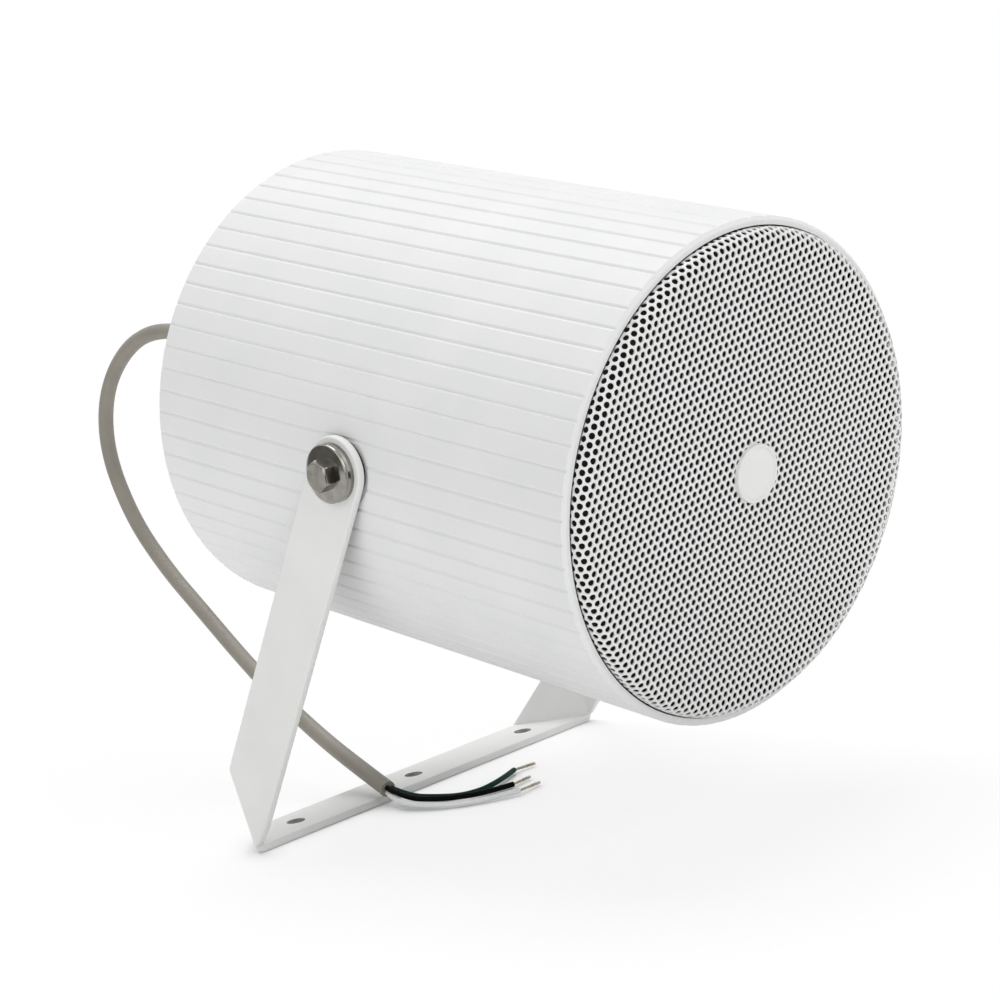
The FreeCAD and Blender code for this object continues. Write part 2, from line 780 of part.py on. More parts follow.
save("housing", housing())
save("rear_cap", rear_cap())
save("cap_gasket", cap_gasket())
save("cap_screws", screws(channel_places, cap_back, 1, channel_screw_length))
save("gland_body", gland_body())
save("gland_nut", gland_nut())
save("gland_seal", gland_seal())
save("gland_locknut", gland_locknut())
save("transformer_core", transformer_core())
save("transformer_winding", transformer_winding())
save("transformer_frame", transformer_frame())
save("transformer_screws", screws(foot_places(), cap_front + frame_sheet, -1, plate_screw_length))
save("terminal_block", terminal_block())
save("baffle", baffle())
save("baffle_screws", screws(channel_places, baffle_front, -1, channel_screw_length))
save("driver_basket", driver_basket())
save("driver_screws", screws(driver_screw_places, flange_front, -1, plate_screw_length))
save("driver_gasket", driver_gasket())
save("surround", surround())
save("cone", cone())
save("dust_cap", dust_cap())
save("spider", spider())
save("voice_coil", voice_coil())
save("top_plate", top_plate())
save("magnet", magnet())
save("yoke", yoke())
save("grille", grille())
save("badge", badge())
save("dust_screen", dust_screen())
save("pivot_bolts", pivot_bolts())
save("flat_washers", side_rings(arm_outer + spring_washer_thickness, washer_thickness, washer_radius,
                                bolt_diameter / 2 + bolt_clearance))
save("spring_washers", spring_washers())
save("friction_washers", side_rings(spot_face_y, friction_washer, friction_washer_radius,
                                    bolt_diameter / 2 + bolt_clearance))
save("pivot_nuts", pivot_nuts())
save("bracket", bracket(), moved=False)
save("cable", tube_along(cable_points(), cable_diameter, "cable"), moved=False)
save("wire_green", tube_along(green_route, wire_diameter, "green wire"), moved=False)
save("wire_black", tube_along(black_route, wire_diameter, "black wire"), moved=False)
save("wire_white", tube_along(white_route, wire_diameter, "white wire"), moved=False)
save("wire_tips", wire_tips(), moved=False)
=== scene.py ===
import math

import bmesh
import bpy
from mathutils import Matrix, Vector
from mathutils.geometry import delaunay_2d_cdt, tessellate_polygon


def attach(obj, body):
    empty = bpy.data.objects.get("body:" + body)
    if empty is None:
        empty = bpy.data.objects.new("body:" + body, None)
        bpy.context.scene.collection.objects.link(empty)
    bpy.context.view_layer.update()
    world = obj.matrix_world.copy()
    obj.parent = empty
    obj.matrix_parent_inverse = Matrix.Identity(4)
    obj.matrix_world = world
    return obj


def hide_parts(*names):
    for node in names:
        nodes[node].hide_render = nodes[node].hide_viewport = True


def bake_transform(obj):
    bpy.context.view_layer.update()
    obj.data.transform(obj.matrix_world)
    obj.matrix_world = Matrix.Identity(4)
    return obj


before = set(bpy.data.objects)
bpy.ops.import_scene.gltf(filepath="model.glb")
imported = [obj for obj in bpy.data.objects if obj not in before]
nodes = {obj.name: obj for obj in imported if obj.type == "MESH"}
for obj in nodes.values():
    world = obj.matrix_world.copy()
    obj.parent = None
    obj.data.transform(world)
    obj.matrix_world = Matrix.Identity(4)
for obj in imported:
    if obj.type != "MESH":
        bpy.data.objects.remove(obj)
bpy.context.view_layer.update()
scene = bpy.context.scene
scene.view_settings.view_transform = "Standard"

# The object's own lengths are in millimetres where no comment says metres
MM = 0.001

# The speaker's own frame, in metres: X along its axis from the rear, as in the CAD
PIVOT = Vector((0.0977037, 0.0, 0.1434766))
NOSE_DOWN = math.radians(12.5)
PIVOT_IN_BODY = Vector((0.1011, 0.0, 0.001))
TILT = Matrix.Rotation(NOSE_DOWN, 4, "Y")
TO_WORLD = Matrix.Translation(PIVOT) @ TILT @ Matrix.Translation(-PIVOT_IN_BODY)
SPEAKER_AXIS = TO_WORLD.to_3x3() @ Vector((1, 0, 0))

# The pivot in millimetres
HUB = PIVOT / MM

FORWARD = Vector((1, 0, 0))
UP = Vector((0, 0, 1))
DOWN = Vector((0, 0, -1))

# Camera fitted to the photograph: its place in metres, its lens and sensor in millimetres
CAMERA_PLACE = Vector((0.81644, -0.67761, 0.25498))
CAMERA_RIGHT = Vector((0.68385, 0.70851, -0.17424))
CAMERA_UP = Vector((0.0174, 0.22291, 0.97468))
CAMERA_AHEAD = Vector((-0.72942, 0.66957, -0.14011))
CAMERA_LENS = 98.417
CAMERA_SENSOR = 36.0
CAMERA_FAR = 100.0


def add_camera():
    data = bpy.data.cameras.new("photo_camera")
    data.lens = CAMERA_LENS
    data.sensor_width = CAMERA_SENSOR
    data.clip_end = CAMERA_FAR
    camera = bpy.data.objects.new("photo_camera", data)
    scene.collection.objects.link(camera)
    turn = Matrix((CAMERA_RIGHT, CAMERA_UP, -CAMERA_AHEAD)).transposed().to_4x4()
    camera.matrix_world = Matrix.Translation(CAMERA_PLACE) @ turn
    scene.camera = camera


add_camera()


# Materials: noise scales are per metre, and grain is the bump's depth in metres

TONE_DETAIL = 4.0
GRAIN_DETAIL = 3.0
GRAIN_STRENGTH = 0.35
TONE_ENDS = (0.3, 0.7)
GLOSS_ENDS = (0.25, 0.75)

# The slot round the grille, shown as painted shade on the grille's skirt: where it turns dark along the
# speaker's axis, in metres, and how black it is
SLOT_SHADE_LEVEL = 0.206
SLOT_SHADE_SOFTNESS = 0.0003
SLOT_PAINTED_SHADE = (0.004, 0.004, 0.004, 1)


def add_node(tree, kind, **values):
    node = tree.nodes.new(kind)
    for key, value in values.items():
        if key in node.inputs:
            node.inputs[key].default_value = value
        else:
            setattr(node, key, value)
    return node


def noise(tree, scale, detail, stretch):
    """Noise in object space, scaled along each axis where a stretch is given."""
    place = add_node(tree, "ShaderNodeTexCoord")
    source = place.outputs["Object"]
    if stretch:
        mapping = add_node(tree, "ShaderNodeMapping", Scale=stretch)
        tree.links.new(source, mapping.inputs["Vector"])
        source = mapping.outputs["Vector"]
    texture = add_node(tree, "ShaderNodeTexNoise", Scale=scale, Detail=detail)
    tree.links.new(source, texture.inputs["Vector"])
    return texture.outputs["Fac"]


def ramp(tree, factor, low, high):
    """A colour from low to high as the noise rises."""
    node = add_node(tree, "ShaderNodeValToRGB")
    first, last = node.color_ramp.elements
    first.position, last.position = TONE_ENDS
    first.color = (*low, 1)
    last.color = (*high, 1)
    tree.links.new(factor, node.inputs["Fac"])
    return node.outputs["Color"]


def map_range(tree, value, start, finish, low=0.0, high=1.0):
    """A number from low to high as the value runs from start to finish."""
    node = add_node(tree, "ShaderNodeMapRange")
    node.inputs["From Min"].default_value = start
    node.inputs["From Max"].default_value = finish
    node.inputs["To Min"].default_value = low
    node.inputs["To Max"].default_value = high
    tree.links.new(value, node.inputs["Value"])
    return node.outputs["Result"]


def surface(name, dark, light, rough, metallic=0.0, tone_scale=40.0, grain_scale=900.0, grain=0.00002,
            stretch=None, shine=0.5):
    """A finish with a slow change of tone, uneven gloss and a fine grain."""
    material = bpy.data.materials.new(name)
    material.use_nodes = True
    tree = material.node_tree
    shader = tree.nodes["Principled BSDF"]
    shader.inputs["Metallic"].default_value = metallic
    shader.inputs["Specular IOR Level"].default_value = shine
    tone = noise(tree, tone_scale, TONE_DETAIL, stretch)
    fine = noise(tree, grain_scale, GRAIN_DETAIL, stretch)
    tree.links.new(ramp(tree, tone, dark, light), shader.inputs["Base Color"])
    tree.links.new(map_range(tree, fine, *GLOSS_ENDS, *rough), shader.inputs["Roughness"])
    bump = add_node(tree, "ShaderNodeBump", Strength=GRAIN_STRENGTH, Distance=grain)
    tree.links.new(fine, bump.inputs["Height"])
    tree.links.new(bump.outputs["Normal"], shader.inputs["Normal"])
    return material


def paint_shade_behind(material, along, level, soft):
    """Painted shade: black below a level along a direction, as where a skirt runs down into a shaded slot."""
    tree = material.node_tree
    base_colour = tree.nodes["Principled BSDF"].inputs["Base Color"]
    finish = base_colour.links[0].from_socket
    place = add_node(tree, "ShaderNodeTexCoord")
    reach = add_node(tree, "ShaderNodeVectorMath", operation="DOT_PRODUCT")
    reach.inputs[1].default_value = along
    tree.links.new(place.outputs["Object"], reach.inputs[0])
    share = map_range(tree, reach.outputs["Value"], level - soft, level + soft)
    # The mix has sockets of the same name for each type, so its colours go by number
    mix = add_node(tree, "ShaderNodeMix", data_type="RGBA")
    mix.inputs[6].default_value = SLOT_PAINTED_SHADE
    tree.links.new(share, mix.inputs[0])
    tree.links.new(finish, mix.inputs[7])
    tree.links.new(mix.outputs[2], base_colour)


white_coat = surface(
    "white_coat", (0.755, 0.76, 0.76), (0.79, 0.79, 0.79), (0.36, 0.5),
    grain_scale=1400.0, shine=0.15,
)
white_strip = surface(
    "white_strip", (0.765, 0.77, 0.757), (0.8, 0.805, 0.792), (0.34, 0.48),
    grain_scale=1400.0, shine=0.15,
)
white_grille = surface(
    "white_grille", (0.765, 0.765, 0.757), (0.8, 0.8, 0.79), (0.4, 0.54),
    grain_scale=1800.0,
)
# The grille's skirt turns black inside the slot round it: painted shade, not a colour of the sheet
slot_shade_place = TO_WORLD @ Vector((SLOT_SHADE_LEVEL, 0, 0))
paint_shade_behind(white_grille, SPEAKER_AXIS, slot_shade_place.dot(SPEAKER_AXIS), SLOT_SHADE_SOFTNESS)
badge_plastic = surface(
    "badge_plastic", (0.765, 0.765, 0.757), (0.79, 0.79, 0.78), (0.28, 0.38),
    grain_scale=1200.0, grain=0.00001,
)
bright_steel = surface(
    "bright_steel", (0.2, 0.193, 0.171), (0.34, 0.328, 0.297), (0.07, 0.18),
    metallic=1.0, tone_scale=220.0, grain_scale=1600.0, grain=0.000006,
)
dull_steel = surface(
    "dull_steel", (0.25, 0.241, 0.216), (0.36, 0.349, 0.32), (0.1, 0.22),
    metallic=1.0, tone_scale=220.0, grain_scale=1600.0, grain=0.000006,
)
# A plain grey for the walls of the base's holes, darker than the strip: painted shade inside the holes
hole_wall_painted_shade = surface(
    "hole_wall_painted_shade", (0.28, 0.29, 0.285), (0.38, 0.39, 0.383), (0.5, 0.7),
    tone_scale=400.0,
)
plated_steel = surface(
    "plated_steel", (0.5, 0.5, 0.5), (0.66, 0.66, 0.65), (0.26, 0.42),
    metallic=1.0, tone_scale=120.0, grain_scale=1200.0, grain=0.00001,
)
black_metal = surface("black_metal", (0.012, 0.012, 0.012), (0.022, 0.022, 0.022), (0.45, 0.6))
black_rubber = surface("black_rubber", (0.014, 0.014, 0.014), (0.026, 0.026, 0.025), (0.6, 0.8))
black_plastic = surface("black_plastic", (0.015, 0.015, 0.016), (0.028, 0.028, 0.028), (0.42, 0.58))
grey_plastic = surface("grey_plastic", (0.25, 0.25, 0.245), (0.3, 0.3, 0.29), (0.4, 0.55))
ferrite = surface("ferrite", (0.03, 0.03, 0.03), (0.055, 0.055, 0.055), (0.6, 0.75), tone_scale=120.0)
lamination = surface(
    "lamination", (0.06, 0.06, 0.065), (0.12, 0.12, 0.12), (0.4, 0.55),
    metallic=0.7, tone_scale=60.0, grain_scale=1500.0, grain=0.00005, stretch=(0.2, 0.2, 6.0),
)
winding_tape = surface("winding_tape", (0.5, 0.36, 0.08), (0.6, 0.45, 0.12), (0.35, 0.5))
cone_paper = surface(
    "cone_paper", (0.012, 0.012, 0.012), (0.03, 0.03, 0.03), (0.75, 0.9),
    tone_scale=300.0, grain_scale=1500.0, grain=0.00008,
)
spider_cloth = surface("spider_cloth", (0.35, 0.22, 0.07), (0.45, 0.3, 0.1), (0.7, 0.85))
copper_coil = surface("copper_coil", (0.5, 0.2, 0.08), (0.66, 0.3, 0.12), (0.25, 0.4), metallic=1.0)
black_cloth = surface(
    "black_cloth", (0.002, 0.002, 0.002), (0.007, 0.007, 0.007), (0.85, 0.95),
    tone_scale=500.0, grain=0.0002,
)
grey_jacket = surface(
    "grey_jacket", (0.245, 0.226, 0.192), (0.282, 0.262, 0.226), (0.45, 0.6),
    tone_scale=60.0, grain_scale=1300.0, grain=0.00003,
)
green_insulation = surface(
    "green_insulation", (0.003, 0.03, 0.019), (0.006, 0.045, 0.03), (0.5, 0.65),
    tone_scale=200.0, shine=0.12,
)
black_insulation = surface(
    "black_insulation", (0.0015, 0.0015, 0.002), (0.003, 0.003, 0.004), (0.5, 0.65),
    tone_scale=200.0, shine=0.06,
)
white_insulation = surface(
    "white_insulation", (0.88, 0.89, 0.89), (0.92, 0.93, 0.93), (0.3, 0.45),
    tone_scale=200.0,
)
tinned_copper = surface(
    "tinned_copper", (0.4, 0.34, 0.27), (0.6, 0.54, 0.46), (0.25, 0.4),
    metallic=1.0, tone_scale=900.0,
)

node_materials = {
    "housing": white_coat,
    "rear_cap": white_coat,
    "cap_gasket": black_rubber,
    "cap_screws": plated_steel,
    "gland_body": grey_plastic,
    "gland_nut": grey_plastic,
    "gland_seal": black_rubber,
    "gland_locknut": grey_plastic,
    "transformer_core": lamination,
    "transformer_winding": winding_tape,
    "transformer_frame": plated_steel,
    "transformer_screws": plated_steel,
    "terminal_block": black_plastic,
    "baffle": black_plastic,
    "baffle_screws": plated_steel,
    "driver_basket": black_metal,
    "driver_screws": plated_steel,
    "driver_gasket": black_rubber,
    "surround": black_rubber,
    "cone": cone_paper,
    "dust_cap": cone_paper,
    "spider": spider_cloth,
    "voice_coil": copper_coil,
    "top_plate": plated_steel,
    "magnet": ferrite,
    "yoke": plated_steel,
    "dust_screen": black_cloth,
    "pivot_bolts": bright_steel,
    "flat_washers": dull_steel,
    "spring_washers": dull_steel,
    "friction_washers": black_rubber,
    "pivot_nuts": plated_steel,
}
for node_name, material in node_materials.items():
    node_mesh = nodes[node_name].data
    node_mesh.materials.clear()
    node_mesh.materials.append(material)


# Making of meshes

def circle(count, shift=0.0):
    """Even angles round a circle, shifted by a share of a step."""
    return [2 * math.pi * (k + shift) / count for k in range(count)]


def ring_points(centre, radius, first_way, second_way, count):
    """Points of a circle about a centre, in the plane of two ways."""
    return [centre + (first_way * math.cos(a) + second_way * math.sin(a)) * radius for a in circle(count)]


def add_points(bm, points):
    """Vertices at points in millimetres."""
    return [bm.verts.new(point * MM) for point in points]


def add_wall(bm, low, high):
    """Faces between two closed rings of vertices."""
    followers = [*range(1, len(low)), 0]
    return [bm.faces.new((low[k], low[n], high[n], high[k])) for k, n in enumerate(followers)]


def smooth_all(faces):
    for face in faces:
        face.smooth = True


def face_outwards(bm):
    bmesh.ops.recalc_face_normals(bm, faces=bm.faces)


def to_mesh(bm, name):
    mesh = bpy.data.meshes.new(name)
    bm.to_mesh(mesh)
    bm.free()
    return mesh


def link_mesh(name, mesh, material, smooth_angle=None):
    """A piece of its own; with an angle, it is smooth except at edges sharper than that."""
    mesh.materials.clear()
    mesh.materials.append(material)
    piece = bpy.data.objects.new(name, mesh)
    scene.collection.objects.link(piece)
    if smooth_angle is not None:
        mesh.polygons.foreach_set("use_smooth", [True] * len(mesh.polygons))
        mesh.set_sharp_from_angle(angle=math.radians(smooth_angle))
    return piece


# Grille: a perforated sheet pan with a rounded edge and a plain skirt

GRILLE_RADIUS = 84.2
GRILLE_FRONT = 211.0
GRILLE_EDGE = 4.5
GRILLE_BACK = 190.0
GRILLE_SHEET = 0.5
GRILLE_SHARP = 40
HOLE_PITCH = 3.035
HOLE_RADIUS = 1.12
HOLE_SIDES = 12
LATTICE_TURN = math.radians(8.55)
LATTICE_START = Vector((2.33, -2.15))
SLANT_ALLOWANCE = 1.3
FLAT_REACH = GRILLE_RADIUS - GRILLE_EDGE
EDGE_REACH = FLAT_REACH + GRILLE_EDGE * math.pi / 2
HOLES_REACH = EDGE_REACH + 2.5
RIM_REACH = EDGE_REACH + 5.0
RIM_GUARD = 0.9
RIM_POINTS = 180

# What delaunay_2d_cdt gives back, and how near two points are one
INSIDE_EDGES = 1
ONE_POINT = 1e-7


def axis_point(x, radius, angle, rise=0.0):
    """A point of the speaker's own frame, at a distance from a line along its axis."""
    return Vector((x, radius * math.cos(angle), rise + radius * math.sin(angle))) * MM


def flat_way(angle):
    return Vector((math.cos(angle), math.sin(angle)))


def pan_point(reach, angle, inset):
    """A point at a distance from the pan's centre along its sheet, inset below the outside."""
    if reach <= FLAT_REACH:
        x = GRILLE_FRONT - inset
        radius = reach
    elif reach <= EDGE_REACH:
        turn = (reach - FLAT_REACH) / GRILLE_EDGE
        x = GRILLE_FRONT - GRILLE_EDGE + (GRILLE_EDGE - inset) * math.cos(turn)
        radius = FLAT_REACH + (GRILLE_EDGE - inset) * math.sin(turn)
    else:
        x = GRILLE_FRONT - GRILLE_EDGE - (reach - EDGE_REACH)
        radius = GRILLE_RADIUS - inset
    return axis_point(x, radius, angle)


def hole_centres():
    first = flat_way(LATTICE_TURN) * HOLE_PITCH
    second = flat_way(LATTICE_TURN + math.pi / 3) * HOLE_PITCH
    steps = int(HOLES_REACH / HOLE_PITCH * SLANT_ALLOWANCE) + 2
    found = []
    for i in range(-steps, steps + 1):
        for j in range(-steps, steps + 1):
            centre = LATTICE_START + first * i + second * j
            if centre.length < HOLES_REACH:
                found.append(centre)
    return found


def flat_pattern():
    """The flat sheet's points, and which of them go round each hole and round the rim."""
    points = []
    loops = []
    for centre in hole_centres():
        loops.append(range(len(points), len(points) + HOLE_SIDES))
        points += [centre + flat_way(a) * HOLE_RADIUS for a in circle(HOLE_SIDES)]
    # A ring of loose points inside the rim keeps the triangles beside it short
    points += [flat_way(a) * (RIM_REACH - RIM_GUARD) for a in circle(RIM_POINTS)]
    rim = range(len(points), len(points) + RIM_POINTS)
    points += [flat_way(a) * RIM_REACH for a in circle(RIM_POINTS, 0.5)]
    return points, loops, rim


def perforated_pan():
    points, loops, rim = flat_pattern()
    edges = [(loop[k], loop[(k + 1) % len(loop)]) for loop in [*loops, rim] for k in range(len(loop))]
    flat, _, triangles, origins, _, _ = delaunay_2d_cdt(points, edges, [], INSIDE_EDGES, ONE_POINT)
    # Where each point went, and the hole that it belongs to; a point of no hole has a number of its own
    place = {}
    hole_of = {}
    for new, olds in enumerate(origins):
        for old in olds:
            place[old] = new
            hole_of[new] = old // HOLE_SIDES if old < len(loops) * HOLE_SIDES else -1 - old
    bm = bmesh.new()
    angles = [math.atan2(point.y, point.x) for point in flat]
    outside, inside = [
        [bm.verts.new(pan_point(point.length, angle, inset)) for point, angle in zip(flat, angles)]
        for inset in (0.0, GRILLE_SHEET)
    ]
    for a, b, c in triangles:
        if hole_of[a] == hole_of[b] == hole_of[c]:
            continue
        bm.faces.new((outside[a], outside[b], outside[c]))
        bm.faces.new((inside[c], inside[b], inside[a]))
    for loop in loops:
        ends = [place[i] for i in loop]
        for a, b in zip(ends, ends[1:] + ends[:1]):
            bm.faces.new((outside[b], outside[a], inside[a], inside[b]))
    ends = [place[i] for i in rim]
    outer_skirt, inner_skirt = [
        [bm.verts.new(axis_point(GRILLE_BACK, GRILLE_RADIUS - inset, angles[i])) for i in ends]
        for inset in (0.0, GRILLE_SHEET)
    ]
    add_wall(bm, [outside[i] for i in ends], outer_skirt)
    add_wall(bm, [inside[i] for i in ends], inner_skirt)
    add_wall(bm, outer_skirt, inner_skirt)
    face_outwards(bm)
    bm.transform(TO_WORLD)
    return to_mesh(bm, "perforated_grille")


grille = link_mesh("perforated_grille", perforated_pan(), white_grille, GRILLE_SHARP)
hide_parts("grille")
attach(grille, "speaker")


# Badge: a bare moulded disc with a raised rim, from points of (height, radius)

BADGE_RISE = 1.6
BADGE_SEGMENTS = 72
BADGE_SHARP = 35
BADGE_PROFILE = [
    (0.0, 10.25), (1.15, 10.25), (1.5, 10.12), (1.74, 9.85), (1.8, 9.5), (1.74, 9.2),
    (1.45, 8.98), (1.2, 8.8), (1.12, 8.45), (1.24, 6.0), (1.34, 3.0), (1.38, 0.0),
]


def turned_disc(profile, segments, base, rise):
    """A solid of revolution about a line along the speaker's axis, closed by its last point at the centre."""
    bm = bmesh.new()
    rings = []
    for height, radius in profile:
        angles = circle(segments) if radius else [0.0]
        rings.append([bm.verts.new(axis_point(base + height, radius, a, rise)) for a in angles])
    bm.faces.new(rings[0])
    for low, high in zip(rings, rings[1:-1]):
        add_wall(bm, low, high)
    last = rings[-2]
    for k, vertex in enumerate(last):
        bm.faces.new((vertex, last[(k + 1) % segments], rings[-1][0]))
    face_outwards(bm)
    bm.transform(TO_WORLD)
    return to_mesh(bm, "bare_badge")


badge_mesh = turned_disc(BADGE_PROFILE, BADGE_SEGMENTS, GRILLE_FRONT, BADGE_RISE)
badge = link_mesh("bare_badge", badge_mesh, badge_plastic, BADGE_SHARP)
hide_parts("badge")
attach(badge, "speaker")


# Bracket: one strip on the CAD's planes, with bends as a folded strip has them and softened edges

STRIP_HALF = 12.5
STRIP_WIDTH = 2 * STRIP_HALF
STRIP_THICKNESS = 3.0
STRIP_EDGE = 0.55
LOW_BEND = 3.2
LOW_BEND_STEPS = 8
HIGH_BEND = 1.6
HIGH_BEND_STEPS = 5
ARM_OUTER = 91.3
ARM_INNER = ARM_OUTER - STRIP_THICKNESS
ARM_LEAN = math.radians(35.0)
BASE_SLANT = math.radians(38.8)
ARM_SLANT = math.radians(42.5)
BASE_SET_BACK = STRIP_WIDTH * math.tan(BASE_SLANT)
ARM_SET_UP = STRIP_WIDTH * math.tan(ARM_SLANT)
ARM_FOOT = 9.0
BASE_FOOT = 12.0
CROWN_STEPS = 24
HOLE_EDGE = 0.15
HOLE_SEGMENTS = 36
BASE_HOLES = [(0.0, -61.5), (0.0, 0.0), (0.0, 61.5)]
BASE_HOLE_RADIUS = 3.5
ARM_HOLE_RADIUS = 3.3
ALONG_ARM = Vector((math.sin(ARM_LEAN), 0, math.cos(ARM_LEAN)))
ACROSS_ARM = Vector((-math.cos(ARM_LEAN), 0, math.sin(ARM_LEAN)))

# How far the middle of a rounded edge lies from each of its faces, as a share of its radius
EDGE_MIDDLE = 1 - math.sqrt(0.5)

# Points nearer than this are one: in a quad, in millimetres, and in the whole strip, in metres
ONE_CORNER = 1e-5
ONE_VERTEX = 2e-6


class Station:
    """One place along the strip's border: its corners on the inner and outer face, and the ways in."""

    def __init__(self, inner, outer, inner_way, outer_way):
        out = (outer - inner).normalized() * STRIP_EDGE
        inner_in = inner_way * STRIP_EDGE
        outer_in = outer_way * STRIP_EDGE
        self.profile = [
            inner + inner_in,
            inner + inner_in * EDGE_MIDDLE + out * EDGE_MIDDLE,
            inner + out,
            outer - out,
            outer + outer_in * EDGE_MIDDLE - out * EDGE_MIDDLE,
            outer + outer_in,
        ]
        self.inner = self.profile[0]
        self.outer = self.profile[-1]


def bend(centre, way, radius, turns, start, finish):
    """Points round a bend whose border shifts along the fold from one place to the other."""
    low = (start - centre).dot(way)
    high = (finish - centre).dot(way)
    count = len(turns) - 1
    return [centre + out * radius + way * (low + (high - low) * k / count) for k, out in enumerate(turns)]


def turn_between(start, finish, steps):
    """Unit vectors that turn evenly from one to the other."""
    axis, angle = start.rotation_difference(finish).to_axis_angle()
    return [Matrix.Rotation(angle * k / steps, 3, axis) @ start for k in range(steps + 1)]


def corner_stations(side):
    """The border's stations at one corner and its arm, from the base's front round to the base's rear."""
    inward = Vector((0, -side, 0))
    still = Vector((0, 0, 0))

    # The outer face's corners: the tip in front, the base's fold at the root and the arm's fold behind
    tip = Vector((STRIP_HALF, side * ARM_OUTER, 0))
    root = Vector((-STRIP_HALF, side * (ARM_OUTER - BASE_SET_BACK), 0))
    fold = tip + ACROSS_ARM * STRIP_WIDTH + ALONG_ARM * ARM_SET_UP
    facing = (fold - root).cross(tip - root).normalized()
    if facing.dot(inward) < 0:
        facing = -facing

    # The same corners on the inner face, one thickness inside all three planes
    shift = Matrix((-DOWN, inward, facing)).inverted() @ Vector((1, 1, 1)) * STRIP_THICKNESS
    inner_tip = tip + shift
    inner_root = inner_tip + (root - tip) * ((STRIP_HALF + inner_tip.x) / STRIP_WIDTH)
    inner_fold = inner_tip + (fold - tip) * (1 - shift.dot(ACROSS_ARM) / STRIP_WIDTH)

    # The two folds, and how much of the faces beside them their bends take
    root_way = (root - tip).normalized()
    fold_way = (fold - tip).normalized()
    rear_way = (fold - root).normalized()
    to_root = root_way / math.cos(BASE_SLANT)
    to_fold = fold_way / math.cos(ARM_SLANT)
    low_turns = turn_between(DOWN, -facing, LOW_BEND_STEPS)
    high_turns = turn_between(-facing, -inward, HIGH_BEND_STEPS)
    low_width = LOW_BEND * math.tan(DOWN.angle(-facing) / 2)
    high_width = HIGH_BEND * math.tan(facing.angle(inward) / 2)

    # Where the bends start and end on the outer face, in front and behind
    tip_spread = root_way.cross(fold_way).length
    knee = tip + root_way * (high_width / tip_spread) + fold_way * (low_width / tip_spread)
    low_centre = knee + facing * LOW_BEND
    high_centre = knee + facing * HIGH_BEND
    base_end = low_centre + DOWN * LOW_BEND
    base_front = base_end + root_way * ((STRIP_HALF - base_end.x) / root_way.x)
    base_rear = base_end + root_way * ((-STRIP_HALF - base_end.x) / root_way.x)
    facet_low = root + rear_way * (low_width / rear_way.cross(root_way).length)
    facet_high = fold - rear_way * (high_width / rear_way.cross(fold_way).length)
    arm_end = high_centre - inward * HIGH_BEND
    rear_reach = STRIP_WIDTH - (arm_end - tip).dot(ACROSS_ARM)
    arm_rear = arm_end + fold_way * (rear_reach / fold_way.dot(ACROSS_ARM))
    tip_low = bend(low_centre, root_way, LOW_BEND, low_turns, base_front, knee)
    tip_high = bend(high_centre, fold_way, HIGH_BEND, high_turns, knee, arm_end)
    root_low = bend(low_centre, root_way, LOW_BEND, low_turns, base_rear, facet_low)
    fold_high = bend(high_centre, fold_way, HIGH_BEND, high_turns, facet_high, arm_rear)

    # The straight edges' ends, and the arm's round crown
    outside = inward * -STRIP_THICKNESS
    arm_foot = inner_tip - ACROSS_ARM * shift.dot(ACROSS_ARM) + ALONG_ARM * ARM_FOOT
    base_foot = Vector((STRIP_HALF, side * (ARM_OUTER - BASE_FOOT), STRIP_THICKNESS))
    arm = [Station(arm_foot, arm_foot + outside, ACROSS_ARM, ACROSS_ARM)]
    hub = HUB + inward * -ARM_INNER
    for k in range(CROWN_STEPS + 1):
        angle = math.pi * k / CROWN_STEPS
        away = ACROSS_ARM * -math.cos(angle) + ALONG_ARM * math.sin(angle)
        crown = hub + away * STRIP_HALF
        arm.append(Station(crown, crown + outside, -away, -away))
    return {
        "front": [Station(base_foot, base_foot + DOWN * STRIP_THICKNESS, -FORWARD, -FORWARD)],
        "tip_low": [Station(inner_tip, outer, still, to_root) for outer in tip_low],
        "tip_high": [Station(inner_tip, outer, still, to_fold) for outer in tip_high],
        "arm": arm,
        "fold": [Station(inner_fold, outer, -to_fold, -to_fold) for outer in reversed(fold_high)],
        "root": [Station(inner_root, outer, -to_root, -to_root) for outer in reversed(root_low)],
    }


def hole_ring(centre, radius, out):
    """Points round a hole that runs along a direction."""
    side_way = out.orthogonal().normalized()
    return ring_points(centre, radius, side_way, out.cross(side_way), HOLE_SEGMENTS)


def add_plate(bm, outline, centres, hole_radius, out):
    """A flat face with round holes."""
    loops = [outline] + [hole_ring(centre, hole_radius, out) for centre in centres]
    verts = add_points(bm, [point for loop in loops for point in loop])
    for triple in tessellate_polygon(loops):
        bm.faces.new([verts[i] for i in triple]).smooth = False


def add_bore(bm, centre, radius, out):
    """A hole's wall with softened ends, from the inner face's plane outwards."""
    middle = HOLE_EDGE * EDGE_MIDDLE
    steps = [(HOLE_EDGE, 0.0), (middle, middle), (0.0, HOLE_EDGE)]
    steps += [(wide, STRIP_THICKNESS - deep) for wide, deep in reversed(steps)]
    rings = [add_points(bm, hole_ring(centre + out * deep, radius + wide, out)) for wide, deep in steps]
    for low, high in zip(rings, rings[1:]):
        smooth_all(add_wall(bm, low, high))


def add_smooth_quad(bm, corners):
    """A smooth face without the corners that fall together; with fewer than three, no face."""
    kept = [corner for k, corner in enumerate(corners) if (corner - corners[k - 1]).length > ONE_CORNER]
    if len(kept) > 2:
        bm.faces.new(add_points(bm, kept)).smooth = True


def add_border(bm, corners):
    """The strip's edge, all the way round both arms and the base."""
    order = ["front", "tip_low", "tip_high", "arm", "fold", "root"]
    border = [station for name in order for station in corners[1][name]]
    border += [station for name in reversed(order) for station in reversed(corners[-1][name])]
    for first, second in zip(border, border[1:] + border[:1]):
        for k in range(len(first.profile) - 1):
            near = [first.profile[k], second.profile[k]]
            far = [second.profile[k + 1], first.profile[k + 1]]
            add_smooth_quad(bm, near + far)


